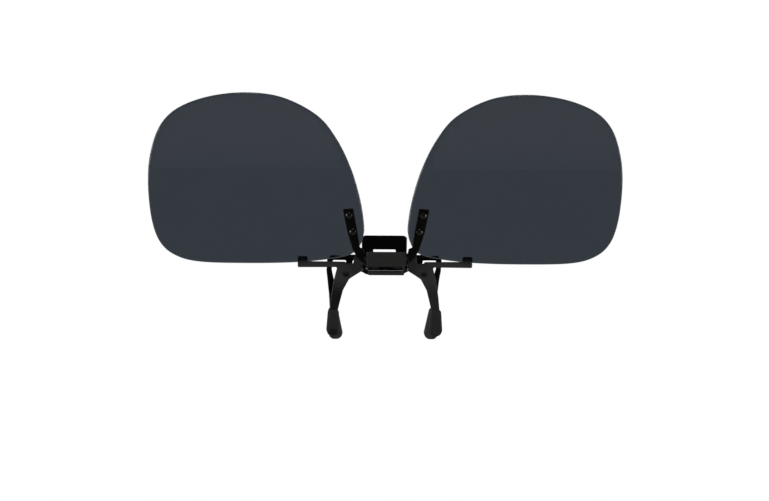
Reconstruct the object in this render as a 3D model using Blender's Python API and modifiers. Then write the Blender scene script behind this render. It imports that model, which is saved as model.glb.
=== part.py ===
"""Flip-up clip-on sunglasses, shown with the lenses flipped up and the clip gripping a lens.

+X is the wearer's left, -Y is away from the wearer's face and +Z is up. Lengths below are in
millimetres from a datum in the middle of the hinge housing; the mesh is made in metres. The
finished clip stands with its origin midway between the four pads.
"""

import math

import bmesh
import bpy
from mathutils import Matrix, Vector

MM = 0.001
SIDES = (("left", -1), ("right", 1))
GAP = 0.04

# lenses and their arms are sheets on concentric spheres
LENS_RADIUS = 260.0
LENS_CENTRE_X = 38.9
LENS_CENTRE_Z = 25.0
LENS_CENTRE_Y = 3.2
LENS_THICKNESS = 1.1
ARM_THICKNESS = 0.6
LENS_OUTLINE = (
    (42.4, 50.4), (53.8, 49.0), (62.8, 45.4), (67.9, 40.0), (70.5, 32.0), (71.15, 23.5), (70.1, 13.0),
    (67.6, 5.9), (63.0, 1.8), (55.5, -0.2), (41.0, -0.6), (27.0, -0.25), (17.0, 0.8), (11.6, 1.9),
    (8.9, 3.5), (7.45, 5.8), (6.75, 8.4), (6.65, 11.2), (7.8, 18.5), (10.5, 27.5), (14.9, 36.5),
    (20.9, 43.7), (31.3, 49.0),
)
ARM_OUTLINE = (
    (9.85, 16.1), (13.0, 15.8), (11.6, 9.0), (9.9, 3.6), (8.7, 1.5), (7.3, 0.1), (6.1, -0.3),
    (6.1, 2.4), (6.55, 3.0), (6.75, 4.1), (7.8, 4.4), (8.5, 9.0),
)
LENS_SCREWS = (("upper", 11.1, 13.9), ("lower", 9.95, 9.0))
SCREW_RADIUS = 0.5
SCREW_HEAD_RADIUS = 0.95
SCREW_HEAD = 0.42
WASHER_RADIUS = 1.25
WASHER = 0.25
NUT_RADIUS = 1.15
NUT = 0.7

# flip hinge
FLIP_Y = 0.0
FLIP_Z = 0.6
AXLE_RADIUS = 0.9
CAM_HALF = 0.64
BOX_X = 5.75
BOX_PLUG_X = 5.05
BOX_Y = 2.0
BOX_TOP = 3.0
BOX_BOTTOM = -1.25
BOX_WALL = 0.7
FOOT_RADIUS = 1.1
KNUCKLE_RADIUS = 1.5
KNUCKLE_IN = 6.1
KNUCKLE_OUT = 6.7

# front jaw, one bent sheet
SHEET = 0.8
PLATE_FRONT = 3.2
PLATE_BACK = PLATE_FRONT + SHEET
TRAY_TOP = -1.85
TRAY_BOTTOM = TRAY_TOP - SHEET
TRAY_HALF = 5.4
LIP_FRONT = -1.6
LIP_BOTTOM = -3.75
RIVET_X = 3.2
RIVET_RADIUS = 0.5
FRONT_EAR_IN = 4.45
FRONT_EAR_OUT = 5.15

# rear jaw and its pin
PIN_Y = 5.3
PIN_Z = -2.0
PIN_RADIUS = 0.6
PIN_END = 6.75
PIN_HEAD_RADIUS = 1.0
PIN_HEAD = 0.4
EAR_RADIUS = 1.1
REAR_EAR_IN = 5.8
REAR_EAR_OUT = 6.6
REAR_Y = 7.0
REAR_LEG_Y = 9.0
WINDOW_X = 3.4
SPRING_WIRE = 0.36
SPRING_COIL = 0.9
SPRING_TURNS = 7
SPRING_INNER_X = 0.7

# rubber sleeves: the pads grip a 2.2 mm spectacle lens
GRIP = 2.2
FRONT_PAD = 5.3
REAR_PAD = FRONT_PAD + GRIP
FRONT_SLEEVE_FRONT = 2.6
REAR_SLEEVE_BACK = 10.1
SLEEVE_TOP = -14.6
FRONT_SLEEVE_BOTTOM = -22.65
REAR_SLEEVE_BOTTOM = -24.1
FRONT_LEG_END = (14.1, 16.6, -21.6)
REAR_LEG_END = (14.4, 16.3, -22.3)

# the pressed dimple at each front leg's root: centre x and z, half sizes, and depth
DIMPLE = (11.6, -3.9, 0.95, 0.62)
DIMPLE_DEPTH = 0.45

CLIP_COLOUR = (0.021, 0.021, 0.019)
PLATE_COLOUR = (0.022, 0.022, 0.020)
BLACK = (0.004, 0.004, 0.003)
RUBBER = (0.017, 0.018, 0.015)
NYLON = (0.03, 0.03, 0.03)
STEEL = (0.45, 0.45, 0.44)
BLACK_STEEL = (0.06, 0.06, 0.055)
TINT = (0.039, 0.043, 0.052)


def new_collection(name):
    """Makes a collection in the scene."""
    collection = bpy.data.collections.new(name)
    bpy.context.scene.collection.children.link(collection)
    return collection


def from_bmesh(name, shape):
    """Keeps a bmesh as a new object, with its faces turned outward."""
    bmesh.ops.recalc_face_normals(shape, faces=shape.faces)
    mesh = bpy.data.meshes.new(name)
    shape.to_mesh(mesh)
    shape.free()
    obj = bpy.data.objects.new(name, mesh)
    bpy.context.scene.collection.objects.link(obj)
    return obj


def file_under(obj, collection):
    """Moves an object to one collection."""
    for old in list(obj.users_collection):
        old.objects.unlink(obj)
    collection.objects.link(obj)


def axis_empty(name, y, z, parent=None):
    """An empty at a place in the clip's own lengths."""
    empty = bpy.data.objects.new(name, None)
    PARTS.objects.link(empty)
    empty.parent = parent
    empty.location = Vector((0.0, y, z)) * MM
    return empty


def hold(obj, holder):
    """Parents an object, whose mesh is drawn from the clip's datum, to the empty that moves it."""
    obj.parent = holder
    if holder is not CLIP:
        obj.matrix_parent_inverse = Matrix.Translation(-holder.location)


def part(obj, name, colour, roughness, metallic, holder):
    """Names a finished sub-part, gives it a material of its own and parents it."""
    obj.name = name
    obj.data.name = name
    material = bpy.data.materials.new(name)
    material.use_nodes = True
    shader = material.node_tree.nodes["Principled BSDF"]
    shader.inputs["Base Color"].default_value = (*colour, 1.0)
    shader.inputs["Roughness"].default_value = roughness
    shader.inputs["Metallic"].default_value = metallic
    obj.data.materials.clear()
    obj.data.materials.append(material)
    file_under(obj, PARTS)
    hold(obj, holder)
    return obj


def box(low, high):
    """A box between two corners."""
    low, high = Vector(low) * MM, Vector(high) * MM
    shape = bmesh.new()
    place = Matrix.Translation((low + high) / 2) @ Matrix.Diagonal((*(high - low), 1.0))
    bmesh.ops.create_cube(shape, size=1.0, matrix=place)
    return from_bmesh("box", shape)


def cylinder(radius, start, end, sides=32, end_radius=None):
    """A cylinder or cone between two points."""
    start, end = Vector(start) * MM, Vector(end) * MM
    along = end - start
    place = Matrix.Translation((start + end) / 2) @ along.to_track_quat("Z", "Y").to_matrix().to_4x4()
    shape = bmesh.new()
    bmesh.ops.create_cone(
        shape,
        cap_ends=True,
        segments=sides,
        radius1=radius * MM,
        radius2=(radius if end_radius is None else end_radius) * MM,
        depth=along.length,
        matrix=place,
    )
    return from_bmesh("cylinder", shape)


def corner_arc(before, corner, after, radius, steps):
    """The points that round one corner of a line."""
    corner = Vector(corner)
    before, after = Vector(before) - corner, Vector(after) - corner
    reach = min(radius / math.tan(before.angle(after) / 2), 0.45 * before.length, 0.45 * after.length)
    start, end = corner + before.normalized() * reach, corner + after.normalized() * reach
    along = [k / steps for k in range(steps + 1)]
    return [(1 - t) ** 2 * start + 2 * t * (1 - t) * corner + t**2 * end for t in along]


def arc_corners(points, radius, steps=4):
    """A closed outline with every corner rounded."""
    found = []
    for before, corner, after in zip((points[-1], *points), points, (*points[1:], points[0])):
        found += corner_arc(before, corner, after, radius, steps)
    return found


def bent(points, radius, steps=5):
    """An open line with its inner corners rounded."""
    found = [Vector(points[0])]
    for before, corner, after in zip(points, points[1:], points[2:]):
        found += corner_arc(before, corner, after, radius, steps)
    return found + [Vector(points[-1])]


def mirrored(points, side):
    """An (X, Z) outline on one side of the clip."""
    return [(side * x, z) for x, z in points]


def both_halves(points):
    """A full outline from its right half."""
    return [*points, *((-x, z) for x, z in reversed(points))]


def ellipse(x, z, half_width, half_height, steps=20):
    """A closed oval outline."""
    turns = [math.tau * i / steps for i in range(steps)]
    return [(x + half_width * math.cos(t), z + half_height * math.sin(t)) for t in turns]


def as_mesh(obj):
    """Replaces a curve with the closed mesh that it makes."""
    depsgraph = bpy.context.evaluated_depsgraph_get()
    mesh = bpy.data.meshes.new_from_object(obj.evaluated_get(depsgraph))
    shape = bmesh.new()
    shape.from_mesh(mesh)
    shape.transform(obj.matrix_world)
    bmesh.ops.remove_doubles(shape, verts=shape.verts, dist=1e-6)
    bpy.data.objects.remove(obj)
    bpy.data.meshes.remove(mesh)
    return from_bmesh("mesh", shape)


def flat_curve(points, extrude, smooth=False):
    """A filled outline, extruded both ways along its own Z."""
    data = bpy.data.curves.new("outline", "CURVE")
    data.dimensions = "2D"
    data.fill_mode = "BOTH"
    data.extrude = extrude * MM
    data.resolution_u = 5
    data.render_resolution_u = 0
    spline = data.splines.new("BEZIER" if smooth else "POLY")
    spline.use_cyclic_u = True
    if smooth:
        spline.bezier_points.add(len(points) - 1)
        for knot, (x, y) in zip(spline.bezier_points, points):
            knot.co = Vector((x, y, 0.0)) * MM
            knot.handle_left_type = knot.handle_right_type = "AUTO"
    else:
        spline.points.add(len(points) - 1)
        for knot, (x, y) in zip(spline.points, points):
            knot.co = (*(Vector((x, y, 0.0)) * MM), 1.0)
    obj = bpy.data.objects.new("outline", data)
    bpy.context.scene.collection.objects.link(obj)
    return obj


def slab(points, front, back, smooth=False):
    """An (X, Z) outline as a solid between two Y."""
    obj = flat_curve(points, (back - front) / 2, smooth)
    turn = Matrix.Rotation(math.pi / 2, 4, "X")
    obj.matrix_world = Matrix.Translation((0, (front + back) / 2 * MM, 0)) @ turn
    bpy.context.view_layer.update()
    return as_mesh(obj)


def side_slab(points, low, high):
    """A (Y, Z) outline as a solid between two X."""
    obj = flat_curve(points, abs(high - low) / 2)
    turn = Matrix.Rotation(math.pi / 2, 4, "Z") @ Matrix.Rotation(math.pi / 2, 4, "X")
    obj.matrix_world = Matrix.Translation(((low + high) / 2 * MM, 0, 0)) @ turn
    bpy.context.view_layer.update()
    return as_mesh(obj)


def bent_sheet(line, low, high, thickness):
    """A (Y, Z) line drawn out between two X and thickened about its middle."""
    shape = bmesh.new()
    rows = []
    for x in (low, high):
        rows.append([shape.verts.new(Vector((x, y, z)) * MM) for y, z in line])
    for i in range(len(line) - 1):
        shape.faces.new((rows[0][i], rows[0][i + 1], rows[1][i + 1], rows[1][i]))
    obj = from_bmesh("sheet", shape)
    solidify(obj, thickness, 0.0)
    return obj


def solidify(obj, thickness, offset):
    """Gives a sheet its thickness."""
    modifier = obj.modifiers.new("Thickness", "SOLIDIFY")
    modifier.thickness = thickness * MM
    modifier.offset = offset
    modifier.use_even_offset = True


def combine(obj, other, operation):
    """Joins, cuts or keeps the overlap with another solid, which goes to the cutters."""
    modifier = obj.modifiers.new(operation.title(), "BOOLEAN")
    modifier.operation = operation
    modifier.object = other
    other.name = "cutter"
    other.display_type = "WIRE"
    other.hide_render = True
    file_under(other, CUTTERS)
    hold(other, CLIP)
    return obj


def bevel(obj, width, segments=2, angle=40):
    """Breaks the sharp edges."""
    modifier = obj.modifiers.new("Bevel", "BEVEL")
    modifier.width = width * MM
    modifier.segments = segments
    modifier.limit_method = "ANGLE"
    modifier.angle_limit = math.radians(angle)


def lens_depth(x, z):
    """The Y of a lens's front face, which is hollow towards -Y when the lenses are up."""
    away = math.hypot(abs(x) - LENS_CENTRE_X, z - LENS_CENTRE_Z)
    return LENS_CENTRE_Y - LENS_RADIUS + math.sqrt(LENS_RADIUS**2 - away**2)


def lens_normal(side, x, z):
    """The direction that points through a lens, away from its hollow side."""
    centre = Vector((side * LENS_CENTRE_X, LENS_CENTRE_Y - LENS_RADIUS, LENS_CENTRE_Z))
    return (Vector((side * x, lens_depth(x, z), z)) - centre).normalized()


def domed_sheet(side, outline, front, thickness, cells, smooth):
    """A sheet parallel to the lens's front face, from front to front + thickness behind it."""
    right, top = max(x for x, _ in outline) + 1, max(z for _, z in outline) + 1
    left, bottom = min(x for x, _ in outline) - 1, min(z for _, z in outline) - 1
    shape = bmesh.new()
    bmesh.ops.create_grid(shape, x_segments=cells[0], y_segments=cells[1], size=0.5)
    for vertex in shape.verts:
        x = (left + right) / 2 + vertex.co.x * (right - left)
        z = (bottom + top) / 2 + vertex.co.y * (top - bottom)
        through = lens_normal(side, x, z)
        vertex.co = (Vector((side * x, lens_depth(x, z), z)) + through * front) * MM
    shape.normal_update()
    if sum(face.normal.y for face in shape.faces) < 0:
        bmesh.ops.reverse_faces(shape, faces=shape.faces)
    mesh = bpy.data.meshes.new("sheet")
    shape.to_mesh(mesh)
    shape.free()
    obj = bpy.data.objects.new("sheet", mesh)
    bpy.context.scene.collection.objects.link(obj)
    solidify(obj, thickness, 1.0)
    prism = slab(mirrored(outline, side), LENS_CENTRE_Y - 10, LENS_CENTRE_Y + 10, smooth)
    return combine(obj, prism, "INTERSECT")


def through_lens(side, x, z, start, end, radius, sides=24, end_radius=None):
    """A cylinder square to the lens, between two depths from its front face."""
    through = lens_normal(side, x, z)
    foot = Vector((side * x, lens_depth(x, z), z))
    return cylinder(radius, foot + through * start, foot + through * end, sides, end_radius)


def lens(name, side):
    """One tinted lens, with a hole for each screw."""
    obj = domed_sheet(side, LENS_OUTLINE, 0.0, LENS_THICKNESS, (22, 18), True)
    for _, x, z in LENS_SCREWS:
        hole = through_lens(side, x, z, -1, LENS_THICKNESS + 1, SCREW_RADIUS + GAP)
        combine(obj, hole, "DIFFERENCE")
    return part(obj, f"lens_{name}", TINT, 0.06, 0.0, FLIP)


def lens_arm(name, side):
    """A flat strip on the lens, whose foot is folded into a knuckle on the flip axle."""
    front = -GAP - ARM_THICKNESS
    obj = domed_sheet(side, arc_corners(ARM_OUTLINE, 0.5), front, ARM_THICKNESS, (8, 14), False)
    axle = (FLIP_Y, FLIP_Z)
    knuckle = cylinder(KNUCKLE_RADIUS, (side * KNUCKLE_IN, *axle), (side * KNUCKLE_OUT, *axle))
    combine(obj, knuckle, "UNION")
    bore = cylinder(AXLE_RADIUS + GAP, (side * (KNUCKLE_IN - 1), *axle), (side * KNUCKLE_OUT, *axle))
    combine(obj, bore, "DIFFERENCE")
    for _, x, z in LENS_SCREWS:
        combine(obj, through_lens(side, x, z, front - 1, 1, SCREW_RADIUS + GAP), "DIFFERENCE")
    return part(obj, f"lens_arm_{name}", BLACK, 0.45, 0.3, FLIP)


def lens_fasteners(name, side):
    """The screws that hold a lens on its arm, each with a washer and a nut behind the lens."""
    arm_face = -2 * GAP - ARM_THICKNESS
    washer_face = LENS_THICKNESS + GAP
    nut_face = washer_face + WASHER + GAP
    for place, x, z in LENS_SCREWS:
        screw = through_lens(side, x, z, arm_face - 0.4, nut_face + 0.85, SCREW_RADIUS)
        head = through_lens(side, x, z, arm_face - SCREW_HEAD, arm_face, 0.6, 24, SCREW_HEAD_RADIUS)
        combine(screw, head, "UNION")
        part(screw, f"lens_screw_{name}_{place}", BLACK_STEEL, 0.25, 1.0, FLIP)

        washer = through_lens(side, x, z, washer_face, washer_face + WASHER, WASHER_RADIUS)
        combine(washer, through_lens(side, x, z, 0, nut_face + 1, SCREW_RADIUS + GAP), "DIFFERENCE")
        part(washer, f"lens_washer_{name}_{place}", NYLON, 0.5, 0.0, FLIP)

        nut = through_lens(side, x, z, nut_face, nut_face + NUT, NUT_RADIUS, 6)
        combine(nut, through_lens(side, x, z, 0, nut_face + 1.5, SCREW_RADIUS + GAP), "DIFFERENCE")
        part(nut, f"lens_nut_{name}_{place}", BLACK_STEEL, 0.3, 1.0, FLIP)


def hinge_housing():
    """The hollow box round the flip axle, open at its right end, on two drilled feet."""
    inner_y, wall = BOX_Y - BOX_WALL, BOX_WALL
    obj = box((-BOX_X, -BOX_Y, BOX_BOTTOM), (BOX_PLUG_X - GAP, BOX_Y, BOX_TOP))
    bevel(obj, 0.22)
    cavity = box((wall - BOX_X, -inner_y, BOX_BOTTOM + wall), (BOX_X, inner_y, BOX_TOP - wall))
    combine(obj, cavity, "DIFFERENCE")
    axle = (FLIP_Y, FLIP_Z)
    bore = cylinder(AXLE_RADIUS + GAP, (-BOX_X - 1, *axle), (0, *axle))
    combine(obj, bore, "DIFFERENCE")
    for _, side in SIDES:
        x = side * RIVET_X
        combine(obj, cylinder(FOOT_RADIUS, (x, 0, TRAY_TOP + GAP), (x, 0, BOX_BOTTOM + 0.3)), "UNION")
        hole = cylinder(RIVET_RADIUS + GAP, (x, 0, BOX_BOTTOM - 1), (x, 0, BOX_BOTTOM + 1), 24)
        combine(obj, hole, "DIFFERENCE")
    return part(obj, "hinge_housing", CLIP_COLOUR, 0.5, 0.2, CLIP)


def housing_plug():
    """The end plate that closes the housing and carries the axle's right end."""
    obj = box((BOX_PLUG_X, -BOX_Y, BOX_BOTTOM), (BOX_X, BOX_Y, BOX_TOP))
    bevel(obj, 0.2)
    axle = (FLIP_Y, FLIP_Z)
    bore = cylinder(AXLE_RADIUS + GAP, (BOX_PLUG_X - 1, *axle), (BOX_X + 1, *axle))
    combine(obj, bore, "DIFFERENCE")
    return part(obj, "housing_plug", CLIP_COLOUR, 0.5, 0.2, CLIP)


def flip_axle():
    """The axle between the arms, with a square cam in the middle for the leaf spring."""
    end, cam = KNUCKLE_OUT - GAP, 3.2
    axle = (FLIP_Y, FLIP_Z)
    obj = cylinder(AXLE_RADIUS, (-end, *axle), (end, *axle))
    for side in (-1, 1):
        low, high = sorted((side * CAM_HALF, side * 2))
        combine(obj, box((-cam, low, FLIP_Z - 2), (cam, high, FLIP_Z + 2)), "DIFFERENCE")
        flat = box((-cam, -2, FLIP_Z + low), (cam, 2, FLIP_Z + high))
        combine(obj, flat, "DIFFERENCE")
    return part(obj, "flip_axle", STEEL, 0.3, 1.0, FLIP)


def flip_washer(name, side):
    """A thin friction washer between the housing and an arm."""
    axle = (FLIP_Y, FLIP_Z)
    start, end = side * (BOX_X + GAP), side * (KNUCKLE_IN - GAP)
    obj = cylinder(1.4, (start, *axle), (end, *axle))
    bore = cylinder(AXLE_RADIUS + GAP, (start - 1, *axle), (end + 1, *axle))
    combine(obj, bore, "DIFFERENCE")
    return part(obj, f"flip_washer_{name}", NYLON, 0.5, 0.0, FLIP)


def detent_spring():
    """The leaf on the axle's cam, which holds the lenses up or down."""
    low = FLIP_Z + CAM_HALF + 0.1 + GAP
    high = BOX_TOP - BOX_WALL - 0.1 - GAP
    half = [(0.0, low), (2.4, low), (3.4, high), (4.6, high)]
    line = bent([(-x, z) for x, z in reversed(half[1:])] + half[1:], 0.8)
    outline = [p + Vector((0, 0.1)) for p in line] + [p - Vector((0, 0.1)) for p in reversed(line)]
    return part(slab(outline, -0.9, 0.9), "detent_spring", STEEL, 0.3, 1.0, CLIP)


def housing_rivet(name, side):
    """A rivet from under the tray into the housing's floor."""
    x = side * RIVET_X
    obj = cylinder(RIVET_RADIUS, (x, 0, TRAY_BOTTOM - GAP - 0.2), (x, 0, BOX_BOTTOM + 0.6), 24)
    head = cylinder(0.6, (x, 0, TRAY_BOTTOM - GAP - 0.35), (x, 0, TRAY_BOTTOM - GAP), 24, 0.95)
    combine(obj, head, "UNION")
    return part(obj, f"housing_rivet_{name}", STEEL, 0.35, 1.0, CLIP)


def front_jaw():
    """The front sheet: wings, legs and ears, and the tray and lip under the housing."""
    leg_in, leg_out, leg_end = FRONT_LEG_END
    half = (
        (9.5, 1.5), (9.5, -0.7), (11.6, -0.7), (12.0, -0.18), (23.2, -0.1), (23.4, 1.5), (26.3, 1.5),
        (26.3, -1.9), (14.4, -1.8), (15.4, -5.7), (16.15, -10.4), (leg_out, -14.8), (leg_out, leg_end),
        (leg_in, leg_end), (leg_in, -14.8), (13.6, -12.6), (12.6, -8.7), (10.8, -5.4), (9.3, -4.4),
        (7.0, -2.95), (7.0, -0.95), (5.3, -0.95), (5.3, -2.2),
    )
    obj = slab(arc_corners(both_halves(half), 0.4, 3), PLATE_FRONT, PLATE_BACK)
    overlap = 0.15
    fold = bent(((PLATE_FRONT + overlap, TRAY_TOP), (LIP_FRONT, TRAY_TOP), (LIP_FRONT, LIP_BOTTOM)), 0.6)
    inner = (
        (LIP_FRONT + SHEET, LIP_BOTTOM),
        (LIP_FRONT + SHEET, TRAY_BOTTOM),
        (PLATE_FRONT + overlap, TRAY_BOTTOM),
    )
    combine(obj, side_slab([*fold, *inner], -TRAY_HALF, TRAY_HALF), "UNION")
    for _, side in SIDES:
        low, high = sorted((side * FRONT_EAR_IN, side * FRONT_EAR_OUT))
        combine(obj, jaw_ear(PLATE_BACK - overlap, low, high), "UNION")
        x = side * RIVET_X
        hole = cylinder(RIVET_RADIUS + GAP, (x, 0, TRAY_BOTTOM - 1), (x, 0, TRAY_TOP + 1), 24)
        combine(obj, hole, "DIFFERENCE")
        combine(obj, slab(ellipse(side * DIMPLE[0], *DIMPLE[1:]), 0, PLATE_FRONT + DIMPLE_DEPTH), "DIFFERENCE")
    bore = cylinder(PIN_RADIUS + GAP, (-7, PIN_Y, PIN_Z), (7, PIN_Y, PIN_Z))
    combine(obj, bore, "DIFFERENCE")
    return part(obj, "front_jaw", PLATE_COLOUR, 0.55, 0.3, CLIP)


def jaw_ear(root, low, high):
    """An ear from a sheet at the Y named root, rounded about the jaw pin."""
    turn = math.pi / 2 if root < PIN_Y else -math.pi / 2
    arc = [turn - math.pi * i / 12 for i in range(13)]
    around = [(PIN_Y + EAR_RADIUS * math.cos(a), PIN_Z + EAR_RADIUS * math.sin(a)) for a in arc]
    outline = [*around, (root, around[-1][1]), (root, around[0][1])]
    return side_slab(outline, low, high)


def jaw_pin():
    """The pin through both pairs of ears, headed at both ends."""
    axis = (PIN_Y, PIN_Z)
    obj = cylinder(PIN_RADIUS, (-PIN_END - 0.1, *axis), (PIN_END + 0.1, *axis))
    for side in (-1, 1):
        start, end = side * PIN_END, side * (PIN_END + PIN_HEAD)
        combine(obj, cylinder(PIN_HEAD_RADIUS, (start, *axis), (end, *axis), 32, 0.75), "UNION")
    return part(obj, "jaw_pin", STEEL, 0.35, 1.0, CLIP)


def jaw_spring(name, side):
    """A torsion spring on the pin, one leg on each jaw above the pin."""
    per_turn = 14
    turns = SPRING_TURNS + 0.5
    start = Vector((SPRING_INNER_X, PLATE_BACK + SPRING_WIRE / 2 + GAP, PIN_Z + 3.1))
    end_x = SPRING_INNER_X + turns * (SPRING_WIRE + GAP)
    route = [start]
    for i in range(round(turns * per_turn) + 1):
        turn = math.pi + i * math.tau / per_turn
        x = SPRING_INNER_X + i / per_turn * (SPRING_WIRE + GAP)
        route.append(Vector((x, PIN_Y + SPRING_COIL * math.cos(turn), PIN_Z + SPRING_COIL * math.sin(turn))))
    back = REAR_Y - SHEET / 2 - SPRING_WIRE / 2 - GAP
    route.append(Vector((end_x, back, PIN_Z + 2.6)))
    data = bpy.data.curves.new("spring", "CURVE")
    data.dimensions = "3D"
    data.bevel_depth = SPRING_WIRE / 2 * MM
    data.bevel_resolution = 2
    data.use_fill_caps = True
    data.render_resolution_u = 0
    spline = data.splines.new("POLY")
    spline.points.add(len(route) - 1)
    for knot, (x, y, z) in zip(spline.points, route):
        knot.co = (side * x * MM, y * MM, z * MM, 1.0)
    obj = bpy.data.objects.new("spring", data)
    bpy.context.scene.collection.objects.link(obj)
    bpy.context.view_layer.update()
    return part(as_mesh(obj), f"jaw_spring_{name}", STEEL, 0.3, 1.0, CLIP)


def rear_jaw():
    """The rear sheet: thumb lever with its window, arch, bowed legs and ears."""
    middle = bent(((9.1, 8.2), (REAR_Y, 1.2), (REAR_Y, -5.0)), 2.0)
    obj = bent_sheet(middle, -8.0, 8.0, SHEET)
    half = (
        (5.85, 7.3), (6.75, 6.9), (6.75, -0.3), (7.4, -0.6), (7.4, -3.1), (5.6, -4.25),
    )
    combine(obj, slab(arc_corners(both_halves(half), 0.25, 3), -5, 15), "INTERSECT")
    combine(obj, box((-WINDOW_X, 0, 1.0), (WINDOW_X, 15, 3.25)), "DIFFERENCE")
    combine(obj, rear_legs(), "UNION")
    for _, side in SIDES:
        low, high = sorted((side * REAR_EAR_IN, side * REAR_EAR_OUT))
        combine(obj, jaw_ear(REAR_Y, low, high), "UNION")
    bore = cylinder(PIN_RADIUS + GAP, (-8, PIN_Y, PIN_Z), (8, PIN_Y, PIN_Z))
    combine(obj, bore, "DIFFERENCE")
    return part(obj, "rear_jaw", BLACK, 0.45, 0.3, JAW)


def rear_legs():
    """Both halves of the arch with their legs, bowed back to leave room for a spectacle rim."""
    leg_in, leg_out, leg_end = REAR_LEG_END
    line = bent(
        ((REAR_Y, 3.0), (REAR_Y, -0.4), (10.6, -4.2), (11.2, -8.2), (REAR_LEG_Y, -14.4), (REAR_LEG_Y, -24.0)),
        1.6,
    )
    sheet = bent_sheet(line, 5.0, 18.3, SHEET - GAP)
    outline = (
        (6.2, 1.66), (16.2, 1.66), (17.3, 0.4), (17.35, -3.5), (16.95, -6.5), (16.5, -10.5), (leg_out, -14.8),
        (leg_out, leg_end), (leg_in, leg_end), (leg_in, -14.8), (14.5, -10.5), (14.95, -6.5), (15.8, -3.0),
        (15.6, 0.06), (11.6, 0.06), (11.6, -0.9), (9.6, -0.9), (9.6, 0.06), (6.2, 0.06),
    )
    combine(sheet, slab(arc_corners(outline, 0.3, 3), -5, 20), "INTERSECT")
    sheet.modifiers.new("Other side", "MIRROR").use_mirror_merge = False
    return sheet


def sleeve(name, side, outline, faces, leg_end, leg_y, jaw):
    """A rubber sleeve on a leg, with a flat pad towards the other jaw."""
    obj = slab(arc_corners(mirrored(outline, side), 1.0, 4), *faces)
    bevel(obj, 0.45, 3, 50)
    low, high = sorted((side * (leg_end[0] - GAP), side * (leg_end[1] + GAP)))
    half = SHEET / 2 + GAP
    pocket = box((low, leg_y - half, leg_end[2] - GAP), (high, leg_y + half, SLEEVE_TOP + 1))
    combine(obj, pocket, "DIFFERENCE")
    return part(obj, f"{jaw}_sleeve_{name}", RUBBER, 0.7, 0.0, JAW if jaw == "rear" else CLIP)


def sleeves(name, side):
    """The front and rear sleeve on one side."""
    bottom, top = FRONT_SLEEVE_BOTTOM, SLEEVE_TOP
    front = (
        (13.8, top), (17.05, top), (17.5, -20.9), (17.1, -22.0), (16.2, bottom), (14.7, bottom),
        (13.85, -22.05), (13.5, -20.9),
    )
    faces = (FRONT_SLEEVE_FRONT, FRONT_PAD)
    sleeve(name, side, front, faces, FRONT_LEG_END, PLATE_FRONT + SHEET / 2, "front")
    bottom = REAR_SLEEVE_BOTTOM
    rear = (
        (13.95, top), (16.75, top), (16.75, -22.2), (16.3, -23.4), (15.4, bottom), (13.7, bottom),
        (12.7, -23.4), (12.3, -22.2),
    )
    sleeve(name, side, rear, (REAR_PAD, REAR_SLEEVE_BACK), REAR_LEG_END, REAR_LEG_Y, "rear")


for old in list(bpy.data.objects):
    bpy.data.objects.remove(old)

PARTS = new_collection("clip_on_sunglasses")
CUTTERS = new_collection("cutters")
CLIP = axis_empty("clip", -(FRONT_PAD + GRIP / 2), -(SLEEVE_TOP + FRONT_SLEEVE_BOTTOM) / 2)
FLIP = axis_empty("flip_hinge", FLIP_Y, FLIP_Z, CLIP)
JAW = axis_empty("jaw_hinge", PIN_Y, PIN_Z, CLIP)

front_jaw()
hinge_housing()
housing_plug()
flip_axle()
detent_spring()
jaw_pin()
rear_jaw()
for NAME, SIDE in SIDES:
    housing_rivet(NAME, SIDE)
    flip_washer(NAME, SIDE)
    jaw_spring(NAME, SIDE)
    lens(NAME, SIDE)
    lens_arm(NAME, SIDE)
    lens_fasteners(NAME, SIDE)
    sleeves(NAME, SIDE)
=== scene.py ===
"""Flip-up clip-on sunglasses with the lenses up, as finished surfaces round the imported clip."""

import math

import bpy
import numpy as np
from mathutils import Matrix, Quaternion, Vector
from mathutils.geometry import delaunay_2d_cdt


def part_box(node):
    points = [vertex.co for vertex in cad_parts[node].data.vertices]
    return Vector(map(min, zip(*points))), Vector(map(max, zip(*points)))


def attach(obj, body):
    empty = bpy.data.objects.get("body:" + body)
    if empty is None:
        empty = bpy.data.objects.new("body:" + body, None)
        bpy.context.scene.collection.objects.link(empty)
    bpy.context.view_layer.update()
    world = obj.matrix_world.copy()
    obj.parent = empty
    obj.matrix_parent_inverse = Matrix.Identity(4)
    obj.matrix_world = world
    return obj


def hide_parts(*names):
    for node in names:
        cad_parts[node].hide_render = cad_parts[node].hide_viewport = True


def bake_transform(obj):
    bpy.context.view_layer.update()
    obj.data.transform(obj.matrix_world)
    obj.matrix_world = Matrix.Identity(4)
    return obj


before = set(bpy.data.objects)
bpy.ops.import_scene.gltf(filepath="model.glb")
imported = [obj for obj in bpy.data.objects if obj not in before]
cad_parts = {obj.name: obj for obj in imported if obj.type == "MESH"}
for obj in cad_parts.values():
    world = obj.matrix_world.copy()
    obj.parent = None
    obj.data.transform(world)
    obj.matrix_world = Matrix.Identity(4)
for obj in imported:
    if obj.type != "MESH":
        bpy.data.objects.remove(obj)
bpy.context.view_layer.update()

MM = 0.001
SIDES = (("left", -1), ("right", 1))

# The camera, the white sweep and the lights. The clip is looked at from in front and a little above,
# at arm's length, against a white sweep. Broad lights stand at both sides in front and behind.
BOX = dict(x=5.75, plug=5.05, y=2.0, top=3.0, bottom=-1.25)
plug_low, plug_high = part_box("housing_plug")
datum = np.array([0.0, (plug_low.y + plug_high.y) / 2, plug_low.z - BOX["bottom"] * MM])

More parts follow.
